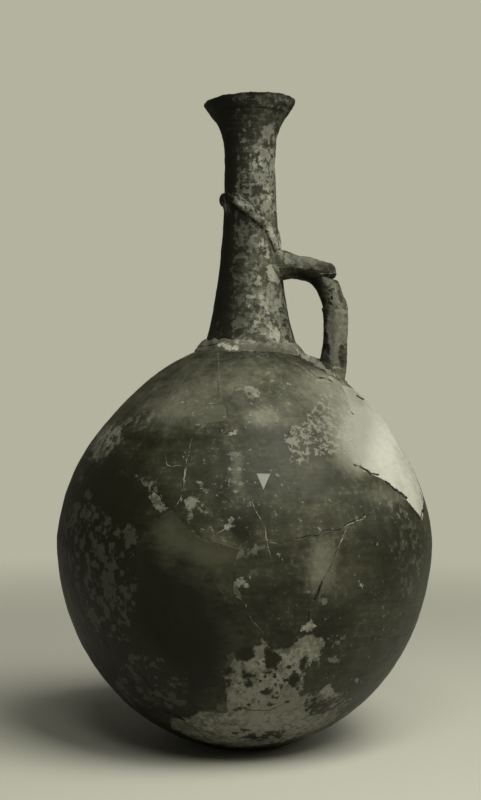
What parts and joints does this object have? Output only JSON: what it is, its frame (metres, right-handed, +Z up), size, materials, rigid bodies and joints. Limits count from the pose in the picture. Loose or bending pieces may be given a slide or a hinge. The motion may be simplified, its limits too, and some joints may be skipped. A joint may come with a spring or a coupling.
{
  "type": "pottery jug",
  "caption": "Round-bodied hand-built pottery jug with a long neck, flared mouth, loop handle and relief band, broken and mended with plaster.",
  "frame": {"origin": "centre of the flat base, on the surface the jug stands on", "axes": "Z is up along the neck, X points from the jug's axis to the handle, the front knob of the relief band is towards -X"},
  "size_m": [0.2594, 0.2594, 0.4464],
  "materials": {
    "dark_slip": "burnished dark slip, worn",
    "worn_slip": "burnished slip, flaked to the clay",
    "plaster": "matt pale plaster",
    "toned_plaster": "smooth toned plaster"
  },
  "bodies": {
    "root": {"mouth_rim": "worn_slip", "neck": "worn_slip", "neck_joint_plaster": "plaster", "relief_strip_front_near": "worn_slip", "relief_strip_handle_near": "worn_slip", "relief_strip_front_far": "worn_slip", "relief_strip_handle_far": "worn_slip", "front_knob": "worn_slip", "handle_arm": "worn_slip", "handle_bend": "worn_slip", "handle_strap": "worn_slip", "handle_root_plaster": "plaster", "shoulder_sherd_left": "dark_slip", "shoulder_sherd_front": "worn_slip", "shoulder_sherd_right": "worn_slip", "shoulder_sherd_back_right": "dark_slip", "shoulder_sherd_back_left": "dark_slip", "shoulder_plaster_fill": "plaster", "shoulder_plaster_plug": "toned_plaster", "shoulder_plaster_triangle": "plaster", "belly_plaster_fill": "toned_plaster", "belly_sherd_left": "dark_slip", "belly_sherd_narrow": "worn_slip", "belly_sherd_middle": "worn_slip", "belly_sherd_right": "dark_slip", "belly_sherd_back_right": "dark_slip", "belly_sherd_back_left": "dark_slip", "lower_sherd_left": "dark_slip", "lower_sherd_front": "worn_slip", "lower_sherd_right": "dark_slip", "lower_sherd_back": "dark_slip", "base_sherd": "worn_slip"}
  },
  "joints": []
}
